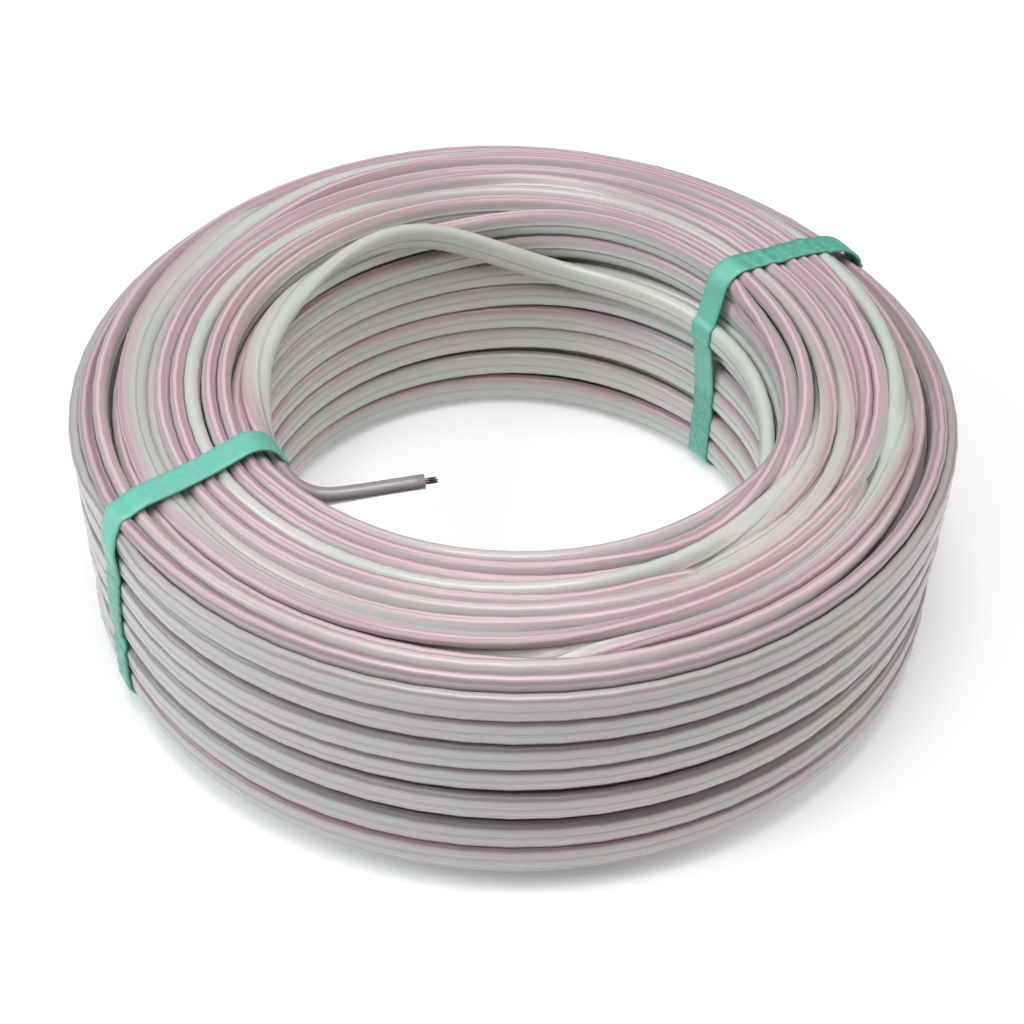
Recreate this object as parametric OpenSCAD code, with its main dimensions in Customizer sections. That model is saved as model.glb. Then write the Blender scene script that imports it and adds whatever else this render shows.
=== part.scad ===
// Coil of flat two-core cable, tied with two plastic straps.
// Millimetres. The coil lies flat on z = 0 and its axis is the Z axis.

/* [Cable] */
// Width of the flat cable, across both cores
cable_w = 5.4; // [4.6:0.1:7]
// Thickness of the cable, across one core
cable_t = 2.6; // [2:0.1:3.2]
// Diameter of each copper conductor
copper_d = 1.1; // [0.6:0.1:1.6]
// Bare copper that sticks out of each cut end
copper_bare = 2.4; // [0.5:0.1:5]

/* [Coil] */
// Diameter of the hole through the coil
hole_d = 97.6; // [94:0.2:104]
// Turns that lie side by side between the hole and the outer wall
layers = 12; // [10:1:14]
// Rows of turns, one on top of the other
rows = 9; // [8:1:12]
// Gap between two turns side by side
layer_gap = 0.04; // [0.02:0.01:0.1]
// Gap between two rows
row_gap = 0.35; // [0.1:0.05:0.6]
// How far the lowest turns flatten under the coil's weight
settle = 0.12; // [0.05:0.01:0.3]

/* [Free ends] */
// How far below the coil's top the inner end leaves the inner wall
inner_end_drop = 6.75; // [6:0.25:20]
// Height at which the outer end leaves the outer wall
outer_end_z = 11.5; // [11.5:0.5:34]

/* [Straps] */
// Width of each strap
strap_w = 5.2; // [4:0.2:8]
// Thickness of each strap
strap_t = 0.6; // [0.3:0.1:0.65]
// How deep the tight straps press into the turns
strap_bite = 0.7; // [0.65:0.05:0.9]
// Gap between a strap's edges and the turns beside it
strap_side_gap = 0.1; // [0.05:0.05:0.3]
// Rounding of a strap over the outer edges of the coil
outer_round = 8; // [6:0.5:10]
// Rounding of a strap over the inner edges of the coil
inner_round = 4; // [3:0.5:5]
// Length over which a strap's two ends lap and are welded
strap_lap = 18; // [8:1:22]
// Direction of the front strap, seen from above
front_strap_angle = 210; // [205:1:211]
// Direction of the rear strap, seen from above
rear_strap_angle = 38; // [38:1:46]

/* [Hidden] */

$fn = 96;
white_pvc = [0.86, 0.85, 0.84];
striped_pvc = [0.85, 0.62, 0.65];
copper = [0.72, 0.43, 0.28];
mint = [0.44, 0.74, 0.66];

// Cores, counted in columns from the hole outwards and in rows from the floor up
layer_pitch = cable_t + layer_gap;
core_pitch = (cable_w + row_gap) / 2;
cores_high = 2 * rows;
coil_r = hole_d / 2 + layers * layer_pitch;
coil_h = cores_high * core_pitch;
inner_wall_r = hole_d / 2 + layer_gap / 2;
outer_wall_r = coil_r - layer_gap / 2;
core_offset = (cable_w - cable_t) / 2;
groove = cable_t / 4;

// Cores that the outermost, the next and the innermost layer lack at the top and at the bottom
outermost_step = 3;
next_step = 1;
innermost_step = 1;

function missing(layer) = layer == layers - 1 ? outermost_step
    : layer == layers - 2 ? next_step
    : layer == 0 ? innermost_step
    : 0;
function layer_r(layer) = hole_d / 2 + (layer + 0.5) * layer_pitch;
function core_z(row) = row == 0 ? cable_t / 2 - settle : (row + 0.5) * core_pitch;
function lowest(layer) = missing(layer);
function highest(layer) = cores_high - 1 - missing(layer);
function filled(layer, row) = layer >= 0 && layer < layers
    && row >= lowest(layer) && row <= highest(layer);
function on_surface(layer, row) = !filled(layer - 1, row) || !filled(layer + 1, row)
    || !filled(layer, row - 1) || !filled(layer, row + 1);

// Where each free end starts, flat against the coil's inner or outer wall
function against(wall_r, angle, z) = [wall_r * cos(angle), wall_r * sin(angle), z];
inner_start = against(inner_wall_r - cable_t / 2, 214.5, coil_h - inner_end_drop);
outer_start = against(outer_wall_r + cable_t / 2, 35, outer_end_z);

// The free ends' centre lines, counted from where they start:
// x, y, z and how far the cable leans over, in degrees
inner_route = [
    [0, 0, 0, 0], [1.8, -1.9, 0, 5], [4, -3.1, 0, 12], [6.4, -3.7, 0.1, 20],
    [8.9, -3.5, 0.2, 28], [13.9, -2.5, 0.5, 36], [18.9, -1.4, 0.8, 40], [23.9, -0.3, 1, 40]
];
outer_route = [
    [0, 0, 0, 0], [2.7, -4, 0, 0], [5.4, -8.2, -0.2, 4], [8.3, -12.5, -0.5, 8],
    [11.1, -16.6, -0.8, 10]
];

function unit(v) = v / norm(v);
function place(route, i) = [route[i][0], route[i][1], route[i][2]];
function heading(route, i) = unit(
    place(route, min(i + 1, len(route) - 1)) - place(route, max(i - 1, 0)));
// The direction across the cable's thickness, and the one across its width
function across(route, i) = let (flat = unit(cross(heading(route, i), [0, 0, 1])))
    flat * cos(route[i][3]) - cross(flat, heading(route, i)) * sin(route[i][3]);
function upward(route, i) = cross(across(route, i), heading(route, i));

// Eight corners of the cable's cross-section, as places across its width and its thickness
cable_outline = [for (corner = [[1, 1], [-1, 1], [-1, -1], [1, -1]])
    each let (wide = corner[0] * cable_w / 2, thin = corner[1] * cable_t / 2, cut = cable_t / 4)
        corner[0] * corner[1] > 0
            ? [[wide, thin / 2], [wide - corner[0] * cut, thin]]
            : [[wide - corner[0] * cut, thin], [wide, thin / 2]]];

// A core seen in section, with eight sides so that the many turns stay light
module core_section(layer, row) {
    translate([layer_r(layer), core_z(row)]) circle(d = cable_t, $fn = 8);
}

// The middle of one layer, behind the round faces of its cores
module layer_web(layer) {
    bottom = core_z(lowest(layer)) - groove;
    translate([layer_r(layer) - groove, bottom])
        square([2 * groove, core_z(highest(layer)) + groove - bottom]);
}

// What lies between one layer and the next
module between_layers(layer) {
    bottom = core_z(max(lowest(layer), lowest(layer + 1))) - groove;
    top = core_z(min(highest(layer), highest(layer + 1))) + groove;
    translate([layer_r(layer), bottom]) square([layer_pitch, top - bottom]);
}

// Section through all the turns, on one side of the axis
module turns_section() {
    intersection() {
        union() {
            for (layer = [0:layers - 1]) {
                layer_web(layer);
                if (layer < layers - 1) between_layers(layer);
                for (row = [lowest(layer):highest(layer)])
                    if (on_surface(layer, row)) core_section(layer, row);
            }
        }
        square([coil_r + 1, coil_h + 1]);
    }
}

// The line that a tight strap follows round the turns, moved outwards by grow
module strap_line(grow) {
    left = hole_d / 2 + strap_bite - grow;
    right = coil_r - strap_bite + grow;
    bottom = strap_bite - grow;
    top = coil_h - strap_bite + grow;
    inner = inner_round + grow;
    outer = outer_round + grow;
    translate([left + inner, bottom]) square([right - left - inner - outer, top - bottom]);
    translate([left, bottom + inner]) square([inner + 1, top - bottom - 2 * inner]);
    translate([right - outer - 1, bottom + outer])
        square([outer + 1, top - bottom - 2 * outer]);
    for (z = [bottom + inner, top - inner]) translate([left + inner, z]) circle(inner);
    for (z = [bottom + outer, top - outer]) translate([right - outer, z]) circle(outer);
}

// A shape drawn in the plane through the axis, given a thickness and turned to its direction
module at_strap(angle, width) {
    rotate([0, 0, angle]) translate([0, width / 2, 0]) rotate([90, 0, 0])
        linear_extrude(width) children();
}

// What the straps squeeze the turns out of
module squeezed_out(angle) {
    at_strap(angle, strap_w + 2 * strap_side_gap) difference() {
        translate([hole_d / 2 - cable_t, -cable_t])
            square([coil_r - hole_d / 2 + 2 * cable_t, coil_h + 2 * cable_t]);
        strap_line(0);
    }
}

module cable_coil() {
    color(white_pvc) difference() {
        rotate_extrude() turns_section();
        squeezed_out(front_strap_angle);
        squeezed_out(rear_strap_angle);
    }
}

// A strap's closed band, with its lapped ends welded on the wall at wall_r
module strap(angle, wall_r, outwards) {
    lap_r = wall_r - outwards * strap_bite + (outwards > 0 ? 0 : -2 * strap_t);
    color(mint) at_strap(angle, strap_w) {
        difference() {
            strap_line(strap_t);
            strap_line(0);
        }
        translate([lap_r, (coil_h - strap_lap) / 2]) square([2 * strap_t, strap_lap]);
    }
}
module front_strap() strap(front_strap_angle, hole_d / 2, -1);
module rear_strap() strap(rear_strap_angle, coil_r, 1);

// A free stretch of the flat cable, swept along its route
module free_end(start, route) {
    sides = len(cable_outline);
    last = len(route) - 1;
    points = [for (i = [0:last]) for (q = cable_outline)
        start + place(route, i) + upward(route, i) * q[0] + across(route, i) * q[1]];
    walls = [for (i = [0:last - 1]) for (k = [0:sides - 1])
        let (a = i * sides + k, b = i * sides + (k + 1) % sides)
            each [[a, a + sides, b], [b, a + sides, b + sides]]];
    start_cap = [for (k = [0:sides - 1]) k];
    end_cap = [for (k = [sides - 1:-1:0]) last * sides + k];
    polyhedron(points, concat([start_cap], walls, [end_cap]));
}
module inner_end() color(white_pvc) free_end(inner_start, inner_route);
module outer_end() color(white_pvc) free_end(outer_start, outer_route);

// The bare copper of one core at the cut end of a route; side is 1 for the upper core
module bare_copper(start, route, side) {
    last = len(route) - 1;
    along = heading(route, last);
    middle = start + place(route, last);
    translate(middle + upward(route, last) * side * core_offset)
        rotate([0, acos(along[2]), atan2(along[1], along[0])])
            cylinder(d = copper_d, h = copper_bare, $fn = 24);
}

// One conductor, where it comes out at both ends of the cable
module conductor(side) {
    color(copper) {
        bare_copper(inner_start, inner_route, side);
        bare_copper(outer_start, outer_route, side);
    }
}
module striped_core_copper() conductor(1);
module plain_core_copper() conductor(-1);

cable_coil();
inner_end();
outer_end();
striped_core_copper();
plain_core_copper();
front_strap();
rear_strap();
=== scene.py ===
"""A coil of flat two-core cable, tied with two plastic straps."""

import functools
import math

import bpy
import numpy as np
from bpy.props import FloatProperty, FloatVectorProperty, IntProperty, PointerProperty
from mathutils import Matrix, Vector


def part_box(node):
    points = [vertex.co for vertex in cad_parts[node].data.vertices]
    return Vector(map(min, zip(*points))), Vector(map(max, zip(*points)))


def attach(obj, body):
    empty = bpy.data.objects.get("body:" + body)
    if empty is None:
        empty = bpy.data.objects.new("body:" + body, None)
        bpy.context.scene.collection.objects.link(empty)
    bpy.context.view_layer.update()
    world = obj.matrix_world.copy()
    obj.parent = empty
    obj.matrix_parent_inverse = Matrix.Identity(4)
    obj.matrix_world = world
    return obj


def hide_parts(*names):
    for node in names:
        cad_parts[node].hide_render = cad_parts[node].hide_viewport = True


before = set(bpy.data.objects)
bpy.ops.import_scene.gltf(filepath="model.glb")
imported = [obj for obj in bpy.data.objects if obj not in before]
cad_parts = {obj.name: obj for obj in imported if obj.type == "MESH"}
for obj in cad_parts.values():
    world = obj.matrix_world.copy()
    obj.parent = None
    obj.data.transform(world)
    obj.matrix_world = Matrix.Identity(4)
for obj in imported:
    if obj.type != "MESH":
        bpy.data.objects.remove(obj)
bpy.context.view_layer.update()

bl_info = {
    "name": "Tied Cable Coil",
    "version": (1, 0, 0),
    "blender": (4, 5, 0),
    "location": "View3D > Sidebar > Cable Coil",
    "description": "Winds a coil of flat two-core cable and ties it with two plastic straps",
    "category": "Add Mesh",
}

MM = 0.001

COIL_LOW, COIL_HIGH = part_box("cable_coil")
COIL_R = COIL_HIGH.x
COIL_TOP = COIL_HIGH.z

# The free ends' centre lines, counted in metres from where they start: x, y, z and lean in degrees
INNER_ROUTE = [
    (0, 0, 0, 0), (0.0018, -0.0019, 0, 8), (0.004, -0.0031, 0, 20), (0.0064, -0.0037, 0.0001, 32),
    (0.0089, -0.0035, 0.0002, 40), (0.0139, -0.0025, 0.0005, 45), (0.0189, -0.0014, 0.0008, 47),
    (0.0239, -0.0003, 0.001, 47),
]
OUTER_ROUTE = [
    (0, 0, 0, 0), (0.0027, -0.004, 0, 0), (0.0054, -0.0082, -0.0002, 4),
    (0.0083, -0.0125, -0.0005, 8), (0.0111, -0.0166, -0.0008, 10),
]
INNER_START_ANGLE = 214.5
INNER_START_Z = 0.045
INNER_GAP = 0.00002
OUTER_START_ANGLE = 35
OUTER_START_Z = 0.0115
FRONT_STRAP_ANGLE = 210
REAR_STRAP_ANGLE = 38

# Stations on each turn of the cable
STATIONS = 64
# Layers with the plain core on top, and the row from which on they have it
PLAIN_TOPS = {3: 5, 7: 5, 11: 1}
# Turns that some layers lack
MISSING = {0: 1, 5: 1, 10: 1, 11: 2}
# Heights in millimetres of the turns on the inner and the outer walls, with wider gaps between some
WALL_ROWS = {
    0: (4.5, 10.5, 16.6, 22.1, 27.7, 33.7, 39.3, 45.0),
    10: (6.4, 12.2, 18.2, 24.2, 30.2, 36.2, 42.2, 48.4),
    11: (9.3, 14.9, 22.1, 29.2, 34.7, 41, 46.3),
}
# How far, in millimetres at the coil's top, some layers stand higher or lower: azimuths and changes
LIFTS = {
    0: ((5, 25, 78, 100, 170, 205, 320, 345), (0, 4.1, 4.1, 0, 0, 4.1, 4.1, 0)),
    7: ((-20, 15, 80, 120, 170, 200), (0, -1.2, -1.2, -1, -0.5, 0)),
    8: ((-20, 15, 80, 120, 170, 200), (0, -2.6, -2.6, -2, -1.5, 0)),
    9: ((-20, 15, 80, 120, 170, 200), (0, -3.5, -3.3, -3, -2.6, 0)),
    10: ((-20, 15, 80, 120, 170, 200), (0, -5.6, -5.6, -5, -4, 0)),
    11: ((-20, 15, 80, 120, 170, 200), (0, -6.6, -6.6, -6, -5, 0)),
}
# Where, as a share of the way round, the highest turns of some layers step to the next layer or row
LATE_STEPS = {4: 0.88, 6: 0.84, 7: 0.9}
# The first turn, which lies loose along the inner wall: azimuth, radius, height and roll
LOOSE_TURN = (
    (214.5, 47.5, 45, 0), (209, 47.6, 45.2, 5), (203, 47.4, 46.4, 25), (195, 47.1, 47.6, 55),
    (185, 46.9, 48.5, 76), (172, 46.7, 49.0, 84), (160, 46.4, 49.0, 90), (150, 46.6, 48.9, 112),
    (140, 47.2, 48.8, 140), (128, 47.8, 48.8, 165), (117, 47.6, 48.7, 180), (111.5, 46.8, 47.9, 180),
    (106, 46.2, 46.0, 180), (100.5, 46.0, 43.6, 180), (94, 46.1, 41.2, 180), (87.5, 46.3, 39.0, 180),
    (79, 46.8, 36.8, 180), (69, 47.2, 36.1, 180), (58, 47.4, 36.1, 180), (46, 47.5, 36.6, 180),
    (38, 47.5, 37, 180), (20, 47.4, 37.4, 180), (0, 47.4, 35.6, 180), (-30, 47.4, 28.6, 180),
    (-70, 47.4, 19, 180), (-110, 47.6, 9, 90), (-135, 49.2, 6, 20), (-146, 50.1, 4.6, 0),
)
# Stretches that leave their place: layer and how many turns below its highest one, then azimuth
# counted on along that turn, radius, height and roll
STRAYS = (
    # a pale band lying flat across the top, from the right round the front to the left
    (7, 0, (
        (-20, 69.6, 49.5, 30), (-32, 69.8, 49.5, 62), (-60, 69.6, 49.5, 64), (-70, 69.4, 49.5, 55),
    )),
    (6, 0, (
        (-92, 67.8, 49.4, 50), (-104, 68.1, 49.5, 62), (-118, 68.7, 49.5, 62), (-159, 68.8, 49.5, 62),
        (-174, 68.5, 49.5, 62), (-188, 69.2, 49.5, 62), (-199, 68.9, 49.5, 60), (-213, 68.9, 49.3, 40),
    )),
    # the rim in front leans out over the outer wall
    (10, 1, ((-24, 77, 48.8, 14), (-70, 77, 48.9, 16), (-150, 77, 48.8, 14))),
    # a shorter one nearer the hole on the right
    (4, 0, ((-28, 61.3, 49.4, 40), (-38, 61.3, 49.5, 64), (-58, 61.2, 49.5, 64), (-68, 61, 49.3, 40))),
    # the inner corner sags on the right
    (0, 0, ((28, 50.3, 46.8, -25), (8, 51.2, 46.2, -45), (-12, 50.6, 46, -25))),
    (1, 0, ((40, 52.8, 48, -20), (10, 53.4, 48.2, -25), (-4, 52.9, 48.2, -10))),
    # a dark gap below the inner wall's highest turn on the left
    (0, 0, ((168, 50.1, 44.2, 0), (112, 50.1, 44.4, 0))),
    (0, 1, ((168, 50.1, 37.2, 0), (112, 50.1, 37.4, 0))),
)
# Degrees over which a stray leaves its place and comes back to it
STRAY_BLEND = 22
# How near in millimetres a turn lies beneath a stray that lies flat, and how far that lowers it
STRAY_SINK = 2.2
# How firmly the loose turn, the strays and all other turns are held to their places
LOOSE_HOLD = 0.35
STRAY_HOLD = 0.25
TURN_HOLD = 0.03
# Millimetres between the turns and the coil's box, and how far the loose turn lies into the hole
BOX_GAP = 0.05
LOOSE_ROOM = 5

# How far each strap lies beside its plane, in millimetres: at the foot and the top of the inner
# wall, then at the top and the foot of the outer wall
STRAP_SLANTS = {FRONT_STRAP_ANGLE: (0, -0.9, 4.4, -0.6), REAR_STRAP_ANGLE: (0.5, -0.4, -7.5, 1.2)}
# Degrees on each side of a strap within which the turns are pressed in
STRAP_REACH = 6.5
# A strap's roundings over the coil's inner and outer edges, and its stations, in millimetres
STRAP_INNER_ROUND = 4
STRAP_OUTER_ROUND = 8
STRAP_STEP = 0.4
# Length of a strap's lap, and how far from the wall's middle it starts
STRAP_LAP = 18
LAP_START = 9
# Gap under a strap, and how deep it may sink into the coil
STRAP_GAP = 0.06
STRAP_SINK = 6
# Bare copper at each cut end: strands, the shortest and longest one, and how far they reach inside
STRANDS = 7
STRAND_LENGTHS = (2.0, 2.4)
STRAND_ROOT = 0.3
STRAND_RADIUS = 0.18
# Metres along the cable over which it comes to lie in the outermost layer
OUTERMOST_TURNS = (37.4, 38.2)
# Colours of the painted shade on the outermost turns' flanks, where the rows meet, and of the painted
# shade on the inner end
FLANK_SHADE_COLOUR = (0.2, 0.115, 0.14)
INNER_END_SHADE_GREY = (0.24, 0.235, 0.235)

FLOOR_SIZE = 4.0
FLOOR_GLOW = 0.2


class CableSettings(bpy.types.PropertyGroup):
    """The flat two-core cable."""

    width: FloatProperty(
        name="Width", description="Width of the flat cable, across both cores",
        default=0.0054, min=0.003, max=0.01, precision=4, unit="LENGTH",
    )
    thickness: FloatProperty(
        name="Thickness", description="Thickness of the cable, across one core",
        default=0.0026, min=0.0015, max=0.005, precision=4, unit="LENGTH",
    )
    web: FloatProperty(
        name="Web", description="Thickness of the sheath in the groove between the cores",
        default=0.00245, min=0.0008, max=0.0026, precision=5, unit="LENGTH",
    )
    sheath: FloatVectorProperty(
        name="Sheath", description="Colour of the plain sheath",
        default=(0.56, 0.568, 0.545), size=3, min=0, max=1, subtype="COLOR",
    )
    stripe: FloatVectorProperty(
        name="Stripe", description="Colour of the stripe along one core",
        default=(0.43, 0.268, 0.312), size=3, min=0, max=1, subtype="COLOR",
    )
    stripe_place: FloatProperty(
        name="Stripe Place", description="Angle of the stripe's middle from the core's outer edge",
        default=math.radians(8), subtype="ANGLE",
    )
    stripe_half: FloatProperty(
        name="Stripe Half Width", description="Angle from the stripe's middle to its edge",
        default=math.radians(46), subtype="ANGLE",
    )


class WindingSettings(bpy.types.PropertyGroup):
    """How the turns lie in the coil."""

    hole: FloatProperty(
        name="Hole", description="Diameter of the hole through the coil",
        default=0.0976, precision=4, unit="LENGTH",
    )
    layers: IntProperty(
        name="Layers", description="Turns side by side between the hole and the outer wall",
        default=12, min=12, max=12,
    )
    rows: IntProperty(
        name="Rows", description="Rows of turns, one on top of the other", default=9, min=9, max=9,
    )
    row_pitch: FloatProperty(
        name="Row Pitch", description="Height from one row to the next",
        default=0.00576, precision=5, unit="LENGTH",
    )
    wander: FloatProperty(
        name="Wander", description="How far a turn strays from its place",
        default=0.0005, precision=4, unit="LENGTH",
    )
    roll: FloatProperty(
        name="Roll", description="How far a turn rolls about its own line",
        default=math.radians(7), subtype="ANGLE",
    )
    steps: IntProperty(
        name="Settling Steps", description="Steps in which the turns settle on each other",
        default=200, min=10, max=1000,
    )
    seed: IntProperty(name="Seed", description="Seed of the turns' wander", default=7, min=0)


class StrapSettings(bpy.types.PropertyGroup):
    """The two flat plastic straps."""

    width: FloatProperty(
        name="Width", description="Width of a strap", default=0.0052, precision=4, unit="LENGTH",
    )
    thickness: FloatProperty(
        name="Thickness", description="Thickness of a strap",
        default=0.0006, precision=4, unit="LENGTH",
    )
    bite: FloatProperty(
        name="Bite", description="How deep a tight strap presses into the turns",
        default=0.0007, precision=4, unit="LENGTH",
    )
    colour: FloatVectorProperty(
        name="Colour", description="Colour of the straps",
        default=(0.12, 0.43, 0.335), size=3, min=0, max=1, subtype="COLOR",
    )


class StudioSettings(bpy.types.PropertyGroup):
    """Camera, floor and lights."""

    elevation: FloatProperty(
        name="Elevation", description="Angle of the camera above the floor",
        default=math.radians(44.46), subtype="ANGLE",
    )
    distance: FloatProperty(
        name="Distance", description="From the camera to the middle of the coil's footprint",
        default=0.4048, precision=4, unit="LENGTH",
    )
    roll: FloatProperty(
        name="Roll", description="Turn of the camera about its own line of sight",
        default=math.radians(1.41), subtype="ANGLE",
    )
    lens: FloatProperty(
        name="Lens", description="Focal length on a sensor 36 mm wide",
        default=71.65, min=20, max=200, unit="CAMERA",
    )
    floor: FloatVectorProperty(
        name="Floor", description="Colour of the floor",
        default=(0.93, 0.93, 0.93), size=3, min=0, max=1, subtype="COLOR",
    )


# ---------------------------------------------------------------- winding


def ease(x):
    """0 to 1 with a soft start and a soft end."""
    x = np.clip(x, 0, 1)
    return x * x * (3 - 2 * x)


class Winding:
    """The turns of the cable, worked out in millimetres: each station's place, roll and two cores."""

    def __init__(
        self, width, thickness, hole, layers, rows, row_pitch, wander, roll, steps, seed, bite,
    ):
        self.width, self.core = width, thickness
        self.half = (width - thickness) / 2
        self.hole_r = hole / 2
        self.layers, self.rows, self.row_pitch = layers, rows, row_pitch
        self.outer_r = COIL_R / MM
        self.top = COIL_TOP / MM
        self.layer_pitch = (self.outer_r - self.hole_r) / layers
        self.wander, self.roll, self.bite = wander, roll, bite
        self.rng = np.random.default_rng(seed)
        self.lay_turns()
        self.settle(steps)

    def turn_places(self):
        """Radius, height, roll and layer of each turn, from the hole outwards, up and down by turns."""
        places = [(0, 0, 0, -1)]
        for layer in range(self.layers):
            count = self.rows - MISSING.get(layer, 0)
            r = self.hole_r + (layer + 0.5) * self.layer_pitch
            low = self.width / 2 + BOX_GAP
            pitch = self.row_pitch * (self.rows - 1) / (count - 1)
            heights = WALL_ROWS.get(layer) or [low + row * pitch for row in range(count)]
            for row in range(count) if layer % 2 == 0 else reversed(range(count)):
                plain_up = row >= PLAIN_TOPS.get(layer, self.rows)
                places.append((r, heights[row], 180 if plain_up else 0, layer))
        return np.array(places, float)

    def drift(self, amplitude, knots_per_turn):
        """A random value that changes smoothly along the cable."""
        x = self.index / STATIONS * knots_per_turn
        values = self.rng.normal(0, amplitude, int(x[-1]) + 3)
        knot = x.astype(int)
        part = ease(x - knot)
        return values[knot] * (1 - part) + values[knot + 1] * part

    def lay_turns(self):
        """Puts each station at its turn's place, with the steps from one turn to the next."""
        places = self.turn_places()
        turns = len(places)
        self.turns = turns
        self.index = np.arange(turns * STATIONS)
        self.turn = self.index // STATIONS
        self.azimuth = INNER_START_ANGLE - 360 * self.index / STATIONS
        share = (self.index % STATIONS) / STATIONS
        layer = places[:, 3].astype(int)
        per_layer = self.rng.uniform(0.15, 0.85, self.layers + 1)
        middle = np.clip(per_layer[layer] + self.rng.normal(0, 0.04, turns), 0.1, 0.9)
        middle[layer >= self.layers - 2] = (INNER_START_ANGLE - 90) / 360
        for number, place in LATE_STEPS.items():
            middle[self.turn_number(number)] = place
        spread = self.rng.uniform(0.12, 0.3, turns)
        following = np.minimum(np.arange(turns) + 1, turns - 1)
        part = ease((share - middle[self.turn]) / spread[self.turn] + 0.5)[:, None]
        here, there = places[self.turn, :3], places[following[self.turn], :3]
        line = here + (there - here) * part
        loose = self.turn == 0
        keys = np.array(LOOSE_TURN[::-1])
        for column in (0, 1, 2):
            line[loose, column] = np.interp(self.azimuth[loose], keys[:, 0], keys[:, column + 1])
        wound = np.where(loose, 0, 1)
        line[:, 0] += wound * self.drift(self.wander, 5)
        on_wall = np.isin(layer[self.turn], (0, self.layers - 1))
        line[:, 1] += wound * (1 + on_wall) * self.drift(self.wander * 0.8, 5)
        line[:, 2] += wound * self.drift(self.roll, 6)
        here = layer[self.turn]
        for number, (azimuths, changes) in LIFTS.items():
            change = np.interp(self.azimuth, azimuths, changes, period=360)
            line[:, 1] += np.where(here == number, change * line[:, 1] / self.top, 0)
        self.loose = loose
        self.hold = np.where(loose, LOOSE_HOLD, TURN_HOLD)
        for layer, below, keys in STRAYS:
            self.stray(self.turn_number(layer, below), keys, line)
        self.hold = self.hold[:, None, None]
        angle = np.radians(line[:, 2])
        arm = np.stack([np.sin(angle), np.cos(angle)], 1) * self.half
        self.home = np.stack([line[:, :2] + arm, line[:, :2] - arm], 1)
        last = (turns - 1) * STATIONS + (INNER_START_ANGLE - OUTER_START_ANGLE) / 360 * STATIONS
        self.count = int(round(last)) + 1

    def turn_number(self, layer, below=0):
        """The number of a layer's highest turn, or of one below it."""
        before = 1 + sum(self.rows - MISSING.get(k, 0) for k in range(layer))
        count = self.rows - MISSING.get(layer, 0)
        return before + (count - 1 - below if layer % 2 == 0 else below)

    def stray(self, number, keys, line):
        """Leads a stretch of a turn along its keys, and lowers the turns beneath it."""
        azimuth = self.azimuth + 360 * number
        first, last = keys[0][0], keys[-1][0]
        leaving = (first + STRAY_BLEND - azimuth) / STRAY_BLEND
        coming_back = (azimuth - last + STRAY_BLEND) / STRAY_BLEND
        weight = ease(leaving) * ease(coming_back)
        led = np.nonzero(weight)[0]
        at = [key[0] for key in reversed(keys)]
        for column in (0, 1, 2):
            goal = [key[column + 1] for key in reversed(keys)]
            change = np.interp(azimuth[led], at, goal) - line[led, column]
            line[led, column] += weight[led] * change
        self.hold[led] = np.maximum(self.hold[led], STRAY_HOLD * weight[led])
        for station in led:
            lying = abs(math.sin(math.radians(line[station, 2]))) * weight[station]
            section = np.arange(station % STATIONS, len(line), STATIONS)
            beside = np.abs(line[section, 0] - line[station, 0])
            under = section[(line[section, 1] < line[station, 1]) & (section != station)]
            reach = 1 - ease((beside[under // STATIONS] - STRAY_SINK) / 2)
            line[under, 1] -= STRAY_SINK * lying * reach * line[under, 1] / 50

    def close_pairs(self, cores, reach):
        """The pairs of cores that lie within reach of each other in the same section of the coil."""
        in_use = self.index < self.count
        order = np.arange(len(cores) * 2).reshape(self.turns, STATIONS, 2).transpose(1, 0, 2)
        first, second = [], []
        flat = cores.reshape(-1, 2)
        for section in order.reshape(STATIONS, -1):
            places = flat[section].astype(np.float32)
            gap = places[:, None] - places[None]
            near = (gap * gap).sum(2) < reach * reach
            a, b = np.nonzero(np.triu(near, 1))
            a, b = section[a], section[b]
            keep = (a // 2 != b // 2) & in_use[a // 2] & in_use[b // 2]
            first.append(a[keep])
            second.append(b[keep])
        return np.concatenate(first), np.concatenate(second)

    def push_apart(self, flat, a, b):
        """Moves cores that overlap out of each other."""
        gap = flat[b] - flat[a]
        distance = np.sqrt((gap * gap).sum(1)) + 1e-9
        overlap = np.maximum(self.core - distance, 0)
        push = gap * (0.3 * overlap / distance)[:, None]
        for axis in (0, 1):
            flat[:, axis] += np.bincount(b, push[:, axis], len(flat))
            flat[:, axis] -= np.bincount(a, push[:, axis], len(flat))

    def keep_width(self, cores):
        """Brings the two cores of each station back to their distance."""
        rod = cores[:, 0] - cores[:, 1]
        length = np.sqrt((rod * rod).sum(1))[:, None] + 1e-9
        change = rod * ((length - 2 * self.half) / length * 0.5)
        cores[:, 0] -= change
        cores[:, 1] += change

    def slant(self, angle, r, z):
        """How far beside its plane a strap lies where it passes a place."""
        inner_foot, inner_top, outer_top, outer_foot = STRAP_SLANTS[angle]
        out = np.clip((r - self.hole_r) / (self.outer_r - self.hole_r), 0, 1)
        up = ease((z / self.top - 0.35) / 0.6)
        foot = inner_foot + (outer_foot - inner_foot) * out
        return foot + (inner_top + (outer_top - inner_top) * out - foot) * up

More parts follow.
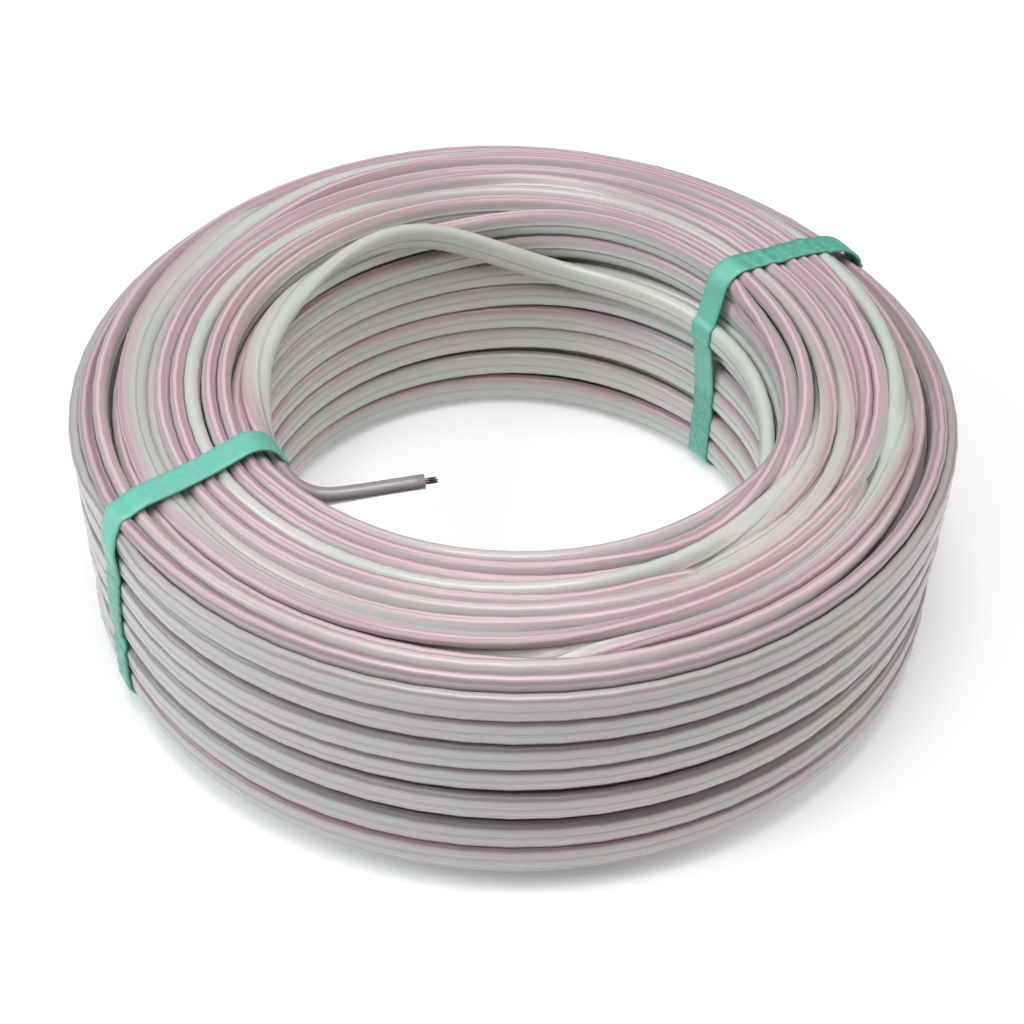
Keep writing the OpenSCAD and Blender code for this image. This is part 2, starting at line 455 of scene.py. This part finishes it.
    def keep_inside(self, cores):
        """Keeps the turns on the floor, within the coil's box and, at the straps, within the straps."""
        radius = self.core / 2
        strapped = np.zeros((len(cores), 2), bool)
        for angle in STRAP_SLANTS:
            r = cores[..., 0]
            beside = self.slant(angle, r, cores[..., 1]) / r
            away = (self.azimuth[:, None] - angle - np.degrees(beside) + 180) % 360 - 180
            strapped |= np.abs(away) < STRAP_REACH
        squeeze = np.where(strapped, self.bite, 0)
        wall = np.where(self.loose, self.hole_r - LOOSE_ROOM, self.hole_r)[:, None]
        low = radius + BOX_GAP + squeeze
        high = self.top - BOX_GAP - radius - squeeze
        far = self.outer_r - radius - squeeze
        cores[..., 1] = np.clip(cores[..., 1], low, high)
        cores[..., 0] = np.clip(cores[..., 0], wall + radius + squeeze, far)

    def settle(self, steps):
        """Lets the turns settle on each other, each held lightly to its own place."""
        cores = self.home.copy()
        flat = cores.reshape(-1, 2)
        for step in range(steps):
            if step % 8 == 0:
                a, b = self.close_pairs(cores, self.core + 0.8)
            cores += self.hold * (self.home - cores)
            for _ in range(2):
                self.push_apart(flat, a, b)
                self.keep_width(cores)
            cores[1:-1] += 0.25 * (cores[:-2] + cores[2:] - 2 * cores[1:-1])
            self.keep_inside(cores)
        self.cores = cores[: self.count]

    def section(self, azimuth, beside):
        """The cores' places in the plane that lies some way beside the one at an azimuth."""
        share = (INNER_START_ANGLE - azimuth) % 360 / 360
        at = (np.arange(self.turns) + share) * STATIONS
        numbers = np.arange(self.count)
        places = []
        for core in (0, 1):
            r = np.interp(at, numbers, self.cores[:, core, 0])
            turned = np.arcsin(beside / r)
            there = at - turned / (2 * math.pi) * STATIONS
            r = np.interp(there, numbers, self.cores[:, core, 0])
            z = np.interp(there, numbers, self.cores[:, core, 1])
            wound_here = (there >= 0) & (there <= self.count - 1)
            places.append(np.stack([r * np.cos(turned), z], 1)[wound_here])
        return np.concatenate(places)

    def points(self):
        """Each station's middle and the direction to its striped core, in metres."""
        azimuth = np.radians(self.azimuth[: self.count])
        radial = np.stack([np.cos(azimuth), np.sin(azimuth), np.zeros_like(azimuth)], 1)
        up = np.array([0, 0, 1.0])
        middle = self.cores.mean(1)
        arm = self.cores[:, 0] - self.cores[:, 1]
        place = radial * middle[:, :1] + up * middle[:, 1:]
        side = radial * arm[:, :1] + up * arm[:, 1:]
        return place * MM, side / np.linalg.norm(side, axis=1)[:, None]


@functools.lru_cache(maxsize=1)
def wound(*sizes):
    """The settled turns, worked out once for all the pieces."""
    return Winding(*sizes)


def winding_of(scene):
    """The settled turns for the scene's settings."""
    cable, winding, strap = scene.coil_cable, scene.coil_winding, scene.coil_strap
    return wound(
        cable.width / MM, cable.thickness / MM, winding.hole / MM, winding.layers, winding.rows,
        winding.row_pitch / MM, winding.wander / MM, math.degrees(winding.roll), winding.steps,
        winding.seed, strap.bite / MM,
    )


def unit(v):
    """Vectors brought to a length of one."""
    return v / np.linalg.norm(v, axis=-1, keepdims=True)


def free_end(start, route, steps_each=3):
    """Places and up directions along a free end, from its start to its tip."""
    points = np.array([[*start]]) + np.array(route)[:, :3]
    lean = np.radians([p[3] for p in route])
    knots = np.arange(len(route))
    fine = np.linspace(0, len(route) - 1, (len(route) - 1) * steps_each + 1)
    padded = np.vstack([2 * points[0] - points[1], points, 2 * points[-1] - points[-2]])
    spans = np.minimum(fine.astype(int), len(route) - 2)
    t = (fine - spans)[:, None]
    p0, p1, p2, p3 = (padded[spans + k] for k in range(4))
    places = 0.5 * (
        2 * p1 + (p2 - p0) * t + (2 * p0 - 5 * p1 + 4 * p2 - p3) * t ** 2
        + (3 * p1 - p0 - 3 * p2 + p3) * t ** 3
    )
    leans = np.interp(fine, knots, lean)[:, None]
    heading = unit(np.gradient(places, axis=0))
    flat = unit(np.cross(heading, [0, 0, 1]))
    across = flat * np.cos(leans) - np.cross(flat, heading) * np.sin(leans)
    return places, np.cross(across, heading)


def against_wall(wall_r, angle, z):
    """The place where a free end starts, flat against a wall of the coil."""
    a = math.radians(angle)
    return np.array([wall_r * math.cos(a), wall_r * math.sin(a), z])


def cable_line(scene):
    """The whole cable's places and directions to the striped core, from its inner to its outer tip."""
    cable = scene.coil_cable
    places, ups = winding_of(scene).points()
    inner_r = scene.coil_winding.hole / 2 + INNER_GAP - cable.thickness / 2
    inner_start = against_wall(inner_r, INNER_START_ANGLE, INNER_START_Z)
    outer_start = against_wall(COIL_R + cable.thickness / 2, OUTER_START_ANGLE, OUTER_START_Z)
    inner, inner_up = free_end(inner_start, INNER_ROUTE)
    outer, outer_up = free_end(outer_start, OUTER_ROUTE)
    line = np.vstack([inner[::-1], places[1:], outer[2:]])
    up = np.vstack([inner_up[::-1], ups[1:], outer_up[2:]])
    return line, up


# ---------------------------------------------------------------- shader expressions


class Value:
    """A shader socket that takes part in Python expressions."""

    def __init__(self, shader, socket):
        self.shader, self.socket = shader, socket

    def math(self, operation, *others):
        """A Math node on this value and the others."""
        inputs = dict(enumerate((self, *others)))
        return self.shader.node("ShaderNodeMath", {"operation": operation}, inputs)

    def __add__(self, other):
        return self.math("ADD", other)

    __radd__ = __add__

    def __sub__(self, other):
        return self.math("SUBTRACT", other)

    def __rsub__(self, other):
        return self.shader.node("ShaderNodeMath", {"operation": "SUBTRACT"}, {0: other, 1: self})

    def __mul__(self, other):
        return self.math("MULTIPLY", other)

    __rmul__ = __mul__

    def __abs__(self):
        return self.math("ABSOLUTE")

    def ramp(self, low, high, start=0.0, end=1.0):
        """This value from low..high, eased to start..end."""
        settings = {"interpolation_type": "SMOOTHSTEP"}
        inputs = {"Value": self, "From Min": low, "From Max": high, "To Min": start, "To Max": end}
        return self.shader.node("ShaderNodeMapRange", settings, inputs)


class Shader:
    def __init__(self, name):
        self.material = bpy.data.materials.new(name)
        self.material.use_nodes = True
        self.tree = self.material.node_tree
        self.surface = self.tree.nodes["Principled BSDF"]

    def node(self, kind, settings=None, inputs=None, output=0):
        """Adds a node, sets it, feeds its sockets and gives back one of its outputs."""
        node = self.tree.nodes.new(kind)
        for name, value in (settings or {}).items():
            setattr(node, name, value)
        for name, value in (inputs or {}).items():
            self.feed(node.inputs[name], value)
        return Value(self, node.outputs[output])

    def feed(self, socket, value):
        """Links a value to a socket, or sets the socket to a plain number or colour."""
        if isinstance(value, Value):
            self.tree.links.new(value.socket, socket)
        elif socket.type == "RGBA" and len(value) == 3:
            socket.default_value = (*value, 1)
        else:
            socket.default_value = value

    def noise(self, vector, scale, detail=2.0, roughness=0.5):
        """Noise between 0 and 1 at a vector."""
        inputs = {"Vector": vector, "Scale": scale, "Detail": detail, "Roughness": roughness}
        return self.node("ShaderNodeTexNoise", None, inputs, "Fac")

    def mix(self, factor, first, second):
        """A colour between two, by a factor."""
        settings = {"data_type": "RGBA"}
        return self.node("ShaderNodeMix", settings, {0: factor, 6: first, 7: second}, 2)

    def parts(self, vector):
        """The three parts of a vector."""
        split = self.node("ShaderNodeSeparateXYZ", None, {0: vector})
        return [Value(self, socket) for socket in split.socket.node.outputs]

    def bump(self, height, distance, strength=1.0, normal=None):
        """A normal that follows a height."""
        inputs = {"Height": height, "Distance": distance, "Strength": strength}
        if normal is not None:
            inputs["Normal"] = normal
        return self.node("ShaderNodeBump", None, inputs)

    def finish(self, **sockets):
        """Feeds the surface's sockets, named with underscores for spaces."""
        for name, value in sockets.items():
            self.feed(self.surface.inputs[name.replace("_", " ")], value)
        return self.material


def toned(colour, *factors):
    """A colour with its red, green and blue multiplied, by one factor or by three."""
    red, green, blue = factors * 3 if len(factors) == 1 else factors
    return tuple(min(1, c * f) for c, f in zip(colour, (red, green, blue)))


def sheath_material(cable):
    """Glossy white plastic, with a soft-edged stripe along one core that tints the core's edge; painted
    shade darkens the groove, the outermost turns, their flanks and the inner end, and a painted
    highlight lightens the striped crest.
    """
    s = Shader("striped_white_sheath")
    section = s.node("ShaderNodeAttribute", {"attribute_name": "section"}, None, "Vector")
    x, y, along = s.parts(section)
    core_half = (cable.width - cable.thickness) / 2 / MM
    place = s.node("ShaderNodeTexCoord", None, None, "Object")
    blotches = s.noise(place, 38, 3)
    stretch = s.node("ShaderNodeCombineXYZ", None, {0: x * 0.6, 1: y * 0.6, 2: along * 30})
    patches = s.noise(s.node("ShaderNodeCombineXYZ", None, {0: along * 3.1}), 1, 2)
    streaks = s.noise(stretch, 2.2, 3)
    wobble = s.noise(s.node("ShaderNodeCombineXYZ", None, {0: along * 60, 1: 4.0}), 1, 2)

    angle = x.math("ARCTAN2", y - core_half)
    distance = abs(angle - cable.stripe_place) + (wobble - 0.5) * 0.3
    tint = distance.ramp(cable.stripe_half, cable.stripe_half * 3.1, 1, 0)
    core = distance.ramp(cable.stripe_half * 0.4, cable.stripe_half * 1.2, 1, 0)

    green_grey = toned(cable.sheath, 0.92, 0.985, 0.94)
    warm = toned(cable.sheath, 1.05, 0.99, 0.995)
    outer_wall_shade = toned(cable.sheath, 0.8, 0.745, 0.77)
    outermost = along.ramp(*OUTERMOST_TURNS)
    white = s.mix(blotches.ramp(0.35, 0.65), green_grey, warm)
    # painted shade: the outermost turns, which make the outer wall, are darkened with a slight mauve
    # tint
    white = s.mix(outermost * 0.6, white, outer_wall_shade)
    white = s.mix(streaks.ramp(0.4, 0.75, 0, 0.35), white, toned(cable.sheath, 0.88))
    # painted shade: darker along the groove between the two cores
    white = s.mix(abs(y).ramp(0.05, 0.35, 0.25, 0), white, toned(cable.sheath, 0.55))
    faint = tuple(0.4 * a + 0.6 * b for a, b in zip(cable.sheath, cable.stripe))
    colour = s.mix(tint * patches.ramp(0.36, 0.5, 0.2, 1), white, faint)
    colour = s.mix(core * patches.ramp(0.4, 0.56, 0.15, 1), colour, tuple(cable.stripe))
    # noise that mottles the painted shade on the inner end
    inner_end_mottle = s.noise(stretch, 5, 4, 0.7).ramp(0.4, 0.6, 0.75, 1)
    # painted highlight: the striped core's crest is painted a paler pink
    crest_highlight = (abs(angle) + (wobble - 0.5) * 0.2).ramp(0.1, 0.36, 0.7, 0)
    colour = s.mix(crest_highlight * patches.ramp(0.36, 0.5, 0.4, 1), colour, toned(faint, 1.45))
    # painted shade: the outermost turns darken to mauve on their flanks, where the rows meet
    flank_shade_mask = abs(y).ramp(1.75, 2.35, 0, 0.55) * abs(y).ramp(2.45, 2.65, 1, 0.35)
    colour = s.mix(outermost * flank_shade_mask, colour, FLANK_SHADE_COLOUR)
    # painted shade: the first few centimetres of the inner end are greyed
    inner_end_shade_mask = along.ramp(0.018, 0.034, 1, 0) * inner_end_mottle
    colour = s.mix(inner_end_shade_mask * 0.9, colour, INNER_END_SHADE_GREY)
    fine = s.noise(stretch, 9, 4, 0.6)
    rough = streaks.ramp(0.3, 0.7, 0.17, 0.3)
    groove = s.bump(abs(y).ramp(0, 0.5), 0.00018)
    normal = s.bump(fine + streaks * 1.5, 0.00004, 0.6, groove)
    return s.finish(Base_Color=colour, Roughness=rough, Normal=normal)


def strap_material(strap):
    """Mint plastic, finely embossed, with a painted highlight where it is lifted over a ridge."""
    s = Shader("mint_strap_plastic")
    place = s.node("ShaderNodeAttribute", {"attribute_name": "strap_place"}, None, "Vector")
    across, along, lift = s.parts(place)
    blotches = s.noise(place, 0.9, 3)
    pale = tuple(min(1, c * 1.35 + 0.05) for c in strap.colour)
    colour = s.mix(blotches.ramp(0.35, 0.65), tuple(strap.colour), toned(strap.colour, 0.8))
    # painted highlight: paler where the strap is lifted over a ridge
    colour = s.mix(lift.ramp(-0.1, 0.25, 0, 0.55) * blotches.ramp(0.3, 0.6, 0.4, 1), colour, pale)
    crossed = (along * 9 + across * 9).math("SINE") * (along * 9 - across * 9).math("SINE")
    fine = s.noise(place, 5, 3, 0.6)
    return s.finish(
        Base_Color=colour,
        Roughness=blotches.ramp(0.3, 0.7, 0.32, 0.5),
        Normal=s.bump(crossed * 0.5 + fine, 0.00006, 0.5),
    )


def copper_material():
    """Bare copper strands, a little tarnished."""
    s = Shader("bare_copper_strands")
    place = s.node("ShaderNodeTexCoord", None, None, "Object")
    tarnish = s.noise(place, 1500, 3)
    colour = s.mix(tarnish.ramp(0.3, 0.6), (0.42, 0.22, 0.15), (0.09, 0.07, 0.06))
    return s.finish(
        Base_Color=colour,
        Metallic=tarnish.ramp(0.3, 0.8, 1.0, 0.7),
        Roughness=tarnish.ramp(0.3, 0.7, 0.3, 0.5),
        Normal=s.bump(s.noise(place, 4000, 2), 0.00003, 0.5),
    )


def floor_material(colour):
    """A plain pale studio floor, faintly lit from below."""
    s = Shader("pale_floor")
    place = s.node("ShaderNodeTexCoord", None, None, "Object")
    tone = s.noise(place, 3, 2)
    pale = s.mix(tone, tuple(colour), toned(colour, 0.985))
    return s.finish(
        Base_Color=pale, Roughness=0.9, Emission_Color=pale, Emission_Strength=FLOOR_GLOW,
    )


# ---------------------------------------------------------------- meshes


def add_object(name, mesh, material):
    """An object in the scene that shows a mesh in a material."""
    mesh.materials.append(material)
    piece = bpy.data.objects.new(name, mesh)
    bpy.context.scene.collection.objects.link(piece)
    return piece


def swept_object(name, tubes, material):
    """An object of one or more tubes, each an array of rings of places, closed flat at both ends."""
    sides = tubes[0].shape[1]
    quads, caps = [], []
    first = 0
    for tube in tubes:
        count = len(tube)
        start = (first + np.arange(count - 1) * sides)[:, None]
        here = np.arange(sides)[None]
        beside = (here + 1) % sides
        corners = [start + here, start + sides + here, start + sides + beside, start + beside]
        quads.append(np.stack(corners, 2))
        caps.append(first + np.arange(sides))
        caps.append(first + (count - 1) * sides + np.arange(sides)[::-1])
        first += count * sides
    quads = np.concatenate([q.reshape(-1, 4) for q in quads])
    vertices = np.concatenate([tube.reshape(-1, 3) for tube in tubes])
    mesh = bpy.data.meshes.new(name)
    mesh.vertices.add(len(vertices))
    mesh.vertices.foreach_set("co", vertices.astype(np.float32).ravel())
    mesh.loops.add(quads.size + len(caps) * sides)
    mesh.polygons.add(len(quads) + len(caps))
    mesh.loops.foreach_set("vertex_index", np.concatenate([quads.ravel(), *caps]).astype(np.int32))
    starts = [np.arange(len(quads)) * 4, quads.size + np.arange(len(caps)) * sides]
    mesh.polygons.foreach_set("loop_start", np.concatenate(starts).astype(np.int32))
    smooth = np.arange(len(quads) + len(caps)) < len(quads)
    mesh.polygons.foreach_set("use_smooth", smooth)
    mesh.update(calc_edges=True)
    mesh.validate()
    return add_object(name, mesh, material)


def keep_coordinates(piece, name, coordinates):
    """Keeps three numbers for each of a piece's vertices, for its material."""
    attribute = piece.data.attributes.new(name, "FLOAT_VECTOR", "POINT")
    attribute.data.foreach_set("vector", coordinates.astype(np.float32).ravel())


def cable_section(cable):
    """The cable's outline in millimetres: across its thickness and across its width."""
    thin = cable.thickness / 2 / MM
    wide = cable.width / 2 / MM
    turned = np.radians((-90, -50, -17, 17, 50, 90))
    upper = [(1.015 * thin * math.sin(a), wide - thin + 1.02 * thin * math.cos(a)) for a in turned]
    lower = [(-x, -y) for x, y in upper]
    web = cable.web / 2 / MM
    return np.array([*upper, (web, 0), *lower, (-web, 0)])


def build_cable(scene):
    """The whole cable as one swept mesh, with its section coordinates for the stripe."""
    cable = scene.coil_cable
    line, up = cable_line(scene)
    heading = unit(np.gradient(line, axis=0))
    up = unit(up - heading * (up * heading).sum(1)[:, None])
    across = np.cross(heading, up)
    section = cable_section(cable)
    thin, wide = section.T[:, None, :, None] * MM
    rings = line[:, None] + across[:, None] * thin + up[:, None] * wide
    piece = swept_object("flat_cable", [rings], sheath_material(cable))
    gaps = np.linalg.norm(np.diff(line, axis=0), axis=1)
    along = np.concatenate([[0], np.cumsum(gaps)])
    coordinates = np.empty((len(line), len(section), 3))
    coordinates[:, :, :2] = section
    coordinates[:, :, 2] = along[:, None]
    keep_coordinates(piece, "section", coordinates)
    return piece, line, float(along[-1])


def strap_path(left, right, bottom, top, inner, outer, step):
    """Places and outward directions round a rounded oblong, from the middle of its left side up."""
    legs = []
    corners = (
        ((left + inner, top - inner), inner, 180), ((right - outer, top - outer), outer, 90),
        ((right - outer, bottom + outer), outer, 0), ((left + inner, bottom + inner), inner, -90),
    )
    for middle, radius, start in corners:
        turned = np.radians(start - np.linspace(0, 90, 16))
        facing = np.stack([np.cos(turned), np.sin(turned)], 1)
        legs.append(np.array(middle) + radius * facing)
    path = np.vstack([[(left, (top + bottom) / 2)], *legs, [(left, (top + bottom) / 2)]])
    along = np.concatenate([[0], np.cumsum(np.linalg.norm(np.diff(path, axis=0), axis=1))])
    count = int(along[-1] / step)
    at = np.arange(count) * along[-1] / count
    places = np.stack([np.interp(at, along, path[:, 0]), np.interp(at, along, path[:, 1])], 1)
    heading = unit(np.roll(places, -2, 0) - np.roll(places, 2, 0))
    return places, np.stack([-heading[:, 1], heading[:, 0]], 1), along[-1] / count


def taut(height, step, bend, reach):
    """A height profile with its hollows bridged by a band that bends to a given radius."""
    sags = [(k, (k * step) ** 2 / (2 * bend)) for k in range(-reach, reach + 1)]
    height = np.max([np.roll(height, k) - sag for k, sag in sags], axis=0)
    return np.min([np.roll(height, k) + sag for k, sag in sags], axis=0)


def cling(winding, azimuth, beside, places, outward, step):
    """How far a strap lies outside its path, lifted by the cores that it passes over."""
    radius = winding.core / 2
    heading = np.stack([outward[:, 1], -outward[:, 0]], 1)
    nearest = np.round(beside * 2) / 2
    lifts = np.empty(len(places))
    for shift in np.unique(nearest):
        here = nearest == shift
        offset = winding.section(azimuth, shift)[None] - places[here][:, None]
        across = (offset * heading[here][:, None]).sum(2)
        above = (offset * outward[here][:, None]).sum(2)
        crown = above + np.sqrt(np.maximum(radius ** 2 - across ** 2, 0))
        lifts[here] = np.where(np.abs(across) < radius, crown, -STRAP_SINK).max(1)
    height = np.maximum(lifts, -STRAP_SINK)
    return np.maximum(taut(height, step, 5, 20), taut(height, step, 90, 60) - 0.55)


def build_strap(scene, name, azimuth, weld_outside):
    """A taut band round the turns that follows their ridges, with its lapped ends welded together."""
    strap = scene.coil_strap
    winding = winding_of(scene)
    width, thickness, bite = strap.width / MM, strap.thickness / MM, strap.bite / MM
    places, outward, step = strap_path(
        winding.hole_r + bite, winding.outer_r - bite, bite, winding.top - bite - BOX_GAP,
        STRAP_INNER_ROUND, STRAP_OUTER_ROUND, STRAP_STEP,
    )
    lap = int(STRAP_LAP / step)
    wall = winding.outer_r - bite if weld_outside else winding.hole_r + bite
    lap_z = winding.top / 2 + (-LAP_START if weld_outside else LAP_START)
    first = np.argmin(np.hypot(places[:, 0] - wall, places[:, 1] - lap_z))
    if not weld_outside:
        first -= lap
    order = (first + np.arange(len(places) + lap)) % len(places)
    number = np.arange(len(order))
    second = ease((number - len(places) + 8) / 8) * (thickness + 0.02)
    ribs = 0.04 * np.sin(number * step * 4) * ease((number - len(places)) / 6)
    a = math.radians(azimuth)
    radial = np.array([math.cos(a), math.sin(a), 0])
    sideways = np.array([-math.sin(a), math.cos(a), 0])
    edge = (1, 0.95, 0.5, 0, -0.5, -0.95, -1)
    slant = winding.slant(azimuth, *places.T)
    lower, upper = [], []
    for part in edge:
        beside = slant + part * width / 2
        lift = cling(winding, azimuth, beside, places, outward, step)
        rounding = 0.3 * thickness if abs(part) == 1 else 0
        for rows, height in ((lower, rounding), (upper, thickness - rounding)):
            total = lift[order] + second + STRAP_GAP + height + (ribs if rows is upper else 0)
            flat = places[order] + outward[order] * total[:, None]
            aside = sideways * beside[order][:, None]
            rows.append(radial * flat[:, :1] + aside + np.array([0, 0, 1]) * flat[:, 1:])
    rings = np.stack([*upper, *lower[::-1]], 1) * MM
    piece = swept_object(name, [rings], strap_material(strap))
    coordinates = np.empty((len(order), 2 * len(edge), 3))
    coordinates[:, :, 0] = np.array([*edge, *edge[::-1]]) * width / 2
    coordinates[:, :, 1] = (number * step)[:, None]
    coordinates[:, :, 2] = lift[order][:, None]
    keep_coordinates(piece, "strap_place", coordinates)
    return piece


def build_strands(scene, name, side):
    """The bare copper strands of one core, at both ends of the cable."""
    cable = scene.coil_cable
    line, up = cable_line(scene)
    turned = np.radians(np.arange(0, 360, 45))
    outline = np.stack([np.cos(turned), np.sin(turned)], 1)
    rng = np.random.default_rng(5)
    tubes = []
    for end, before in ((0, 1), (-1, -2)):
        along = unit(line[end] - line[before])
        across = np.cross(along, up[end])
        root = line[end] + up[end] * side * (cable.width - cable.thickness) / 2
        for strand in range(STRANDS):
            length = rng.uniform(*STRAND_LENGTHS)
            t = np.linspace(0, 1, 12)
            ring = 0 if strand == 0 else 0.36 + 0.12 * t ** 2
            place = math.radians(60 * strand) + t * 1.2
            offset = np.stack([ring * np.cos(place), ring * np.sin(place)], 1)
            taper = np.sqrt(1 - np.clip((t - 0.93) / 0.08, 0, 1) ** 2)
            thick = STRAND_RADIUS * taper[:, None, None]
            flat = (offset[:, None] + outline[None] * thick) * MM
            height = ((t * (length + STRAND_ROOT) - STRAND_ROOT) * MM)[:, None, None]
            tubes.append(root + along * height + up[end] * flat[:, :, :1] + across * flat[:, :, 1:])
    return swept_object(name, tubes, copper_material())


# ---------------------------------------------------------------- operators


class COIL_OT_studio(bpy.types.Operator):
    """Set up the camera, the pale floor and the soft lights"""

    bl_idname = "coil.studio"
    bl_label = "Studio"

    def execute(self, context):
        studio = context.scene.coil_studio
        self.add_camera(context.scene, studio)
        self.add_floor(studio)
        self.add_lights(context.scene)
        return {"FINISHED"}

    def add_camera(self, scene, studio):
        camera = bpy.data.cameras.new("camera")
        camera.lens = studio.lens
        camera.sensor_width = 36
        camera.shift_x = 0.002
        camera.shift_y = 0.05
        camera.clip_start = 0.01
        holder = bpy.data.objects.new("camera", camera)
        scene.collection.objects.link(holder)
        back = Vector((0, -math.cos(studio.elevation), math.sin(studio.elevation)))
        up = Vector((0, math.sin(studio.elevation), math.cos(studio.elevation)))
        right = up.cross(back)
        turn = Matrix((right, up, back)).transposed() @ Matrix.Rotation(studio.roll, 3, "Z")
        holder.matrix_world = Matrix.Translation(back * studio.distance) @ turn.to_4x4()
        scene.camera = holder

    def add_floor(self, studio):
        mesh = bpy.data.meshes.new("studio_floor")
        square = ((-1, -1), (1, -1), (1, 1), (-1, 1))
        corners = [(x * FLOOR_SIZE, y * FLOOR_SIZE, 0) for x, y in square]
        mesh.from_pydata(corners, [], [(0, 1, 2, 3)])
        floor = add_object("studio_floor", mesh, floor_material(studio.floor))

    def add_lights(self, scene):
        """Four soft boxes, two overhead and one at each side, in a dim room."""
        scene.view_settings.view_transform = "Standard"
        boxes = (
            ("high_box", (-0.04, 0.0, 1.35), 0.6, 5.6, (1.0, 0.99, 0.985)),
            ("near_box", (-0.02, -0.13, 0.4), 0.25, 0.8, (1.0, 0.99, 0.985)),
            ("left_box", (-1.15, -0.2, 0.8), 0.8, 11.2, (0.905, 0.98, 1.0)),
            ("right_box", (1.2, 0.2, 0.7), 0.7, 6.2, (1.0, 0.962, 0.965)),
        )
        middle = Vector((0, 0, 0.02))
        for name, place, size, power, colour in boxes:
            box = bpy.data.lights.new(name, "AREA")
            box.size = size
            box.energy = power
            box.color = colour
            holder = bpy.data.objects.new(name, box)
            holder.location = place
            aim = (middle - Vector(place)).to_track_quat("-Z", "Y")
            holder.rotation_euler = aim.to_euler()
            scene.collection.objects.link(holder)
        world = bpy.data.worlds.new("dim_room")
        world.use_nodes = True
        world.node_tree.nodes["Background"].inputs["Color"].default_value = (1, 1, 1, 1)
        world.node_tree.nodes["Background"].inputs["Strength"].default_value = 0.08
        scene.world = world


class COIL_OT_cable(bpy.types.Operator):
    """Wind the whole cable, from its inner tip to its outer tip"""

    bl_idname = "coil.cable"
    bl_label = "Cable"

    def execute(self, context):
        piece, line, length = build_cable(context.scene)
        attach(piece, "root")
        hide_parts("cable_coil", "inner_end", "outer_end")
        return {"FINISHED"}


class COIL_OT_straps(bpy.types.Operator):
    """Tie the coil with its two straps"""

    bl_idname = "coil.straps"
    bl_label = "Straps"

    def execute(self, context):
        for name, azimuth, weld_outside in (
            ("front_strap", FRONT_STRAP_ANGLE, False), ("rear_strap", REAR_STRAP_ANGLE, True),
        ):
            piece = build_strap(context.scene, f"mint_{name}", azimuth, weld_outside)
            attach(piece, "root")
            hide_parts(name)
        return {"FINISHED"}


class COIL_OT_copper(bpy.types.Operator):
    """Put bare copper strands on the cable's cut ends"""

    bl_idname = "coil.copper"
    bl_label = "Copper"

    def execute(self, context):
        for name, side in (("striped_core", 1), ("plain_core", -1)):
            piece = build_strands(context.scene, f"{name}_strands", side)
            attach(piece, "root")
            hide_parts(f"{name}_copper")
        return {"FINISHED"}


class COIL_PT_panel(bpy.types.Panel):
    """Lists the steps and the sizes of the coil"""

    bl_idname = "COIL_PT_panel"
    bl_label = "Cable Coil"
    bl_space_type = "VIEW_3D"
    bl_region_type = "UI"
    bl_category = "Cable Coil"

    def draw(self, context):
        for settings in (
            context.scene.coil_cable, context.scene.coil_winding,
            context.scene.coil_strap, context.scene.coil_studio,
        ):
            column = self.layout.column(align=True)
            for name in settings.__annotations__:
                column.prop(settings, name)
        for step in STEPS:
            self.layout.operator(step.bl_idname)


SETTINGS = {
    "coil_cable": CableSettings,
    "coil_winding": WindingSettings,
    "coil_strap": StrapSettings,
    "coil_studio": StudioSettings,
}
STEPS = (COIL_OT_studio, COIL_OT_cable, COIL_OT_straps, COIL_OT_copper)


def register():
    for group in (*SETTINGS.values(), *STEPS, COIL_PT_panel):
        bpy.utils.register_class(group)
    for name, group in SETTINGS.items():
        setattr(bpy.types.Scene, name, PointerProperty(type=group))


def unregister():
    for name in SETTINGS:
        delattr(bpy.types.Scene, name)
    for group in (COIL_PT_panel, *STEPS, *SETTINGS.values()):
        bpy.utils.unregister_class(group)


def main():
    register()
    bpy.ops.coil.studio()
    bpy.ops.coil.cable()
    bpy.ops.coil.straps()
    bpy.ops.coil.copper()


if __name__ == "__main__":
    main()
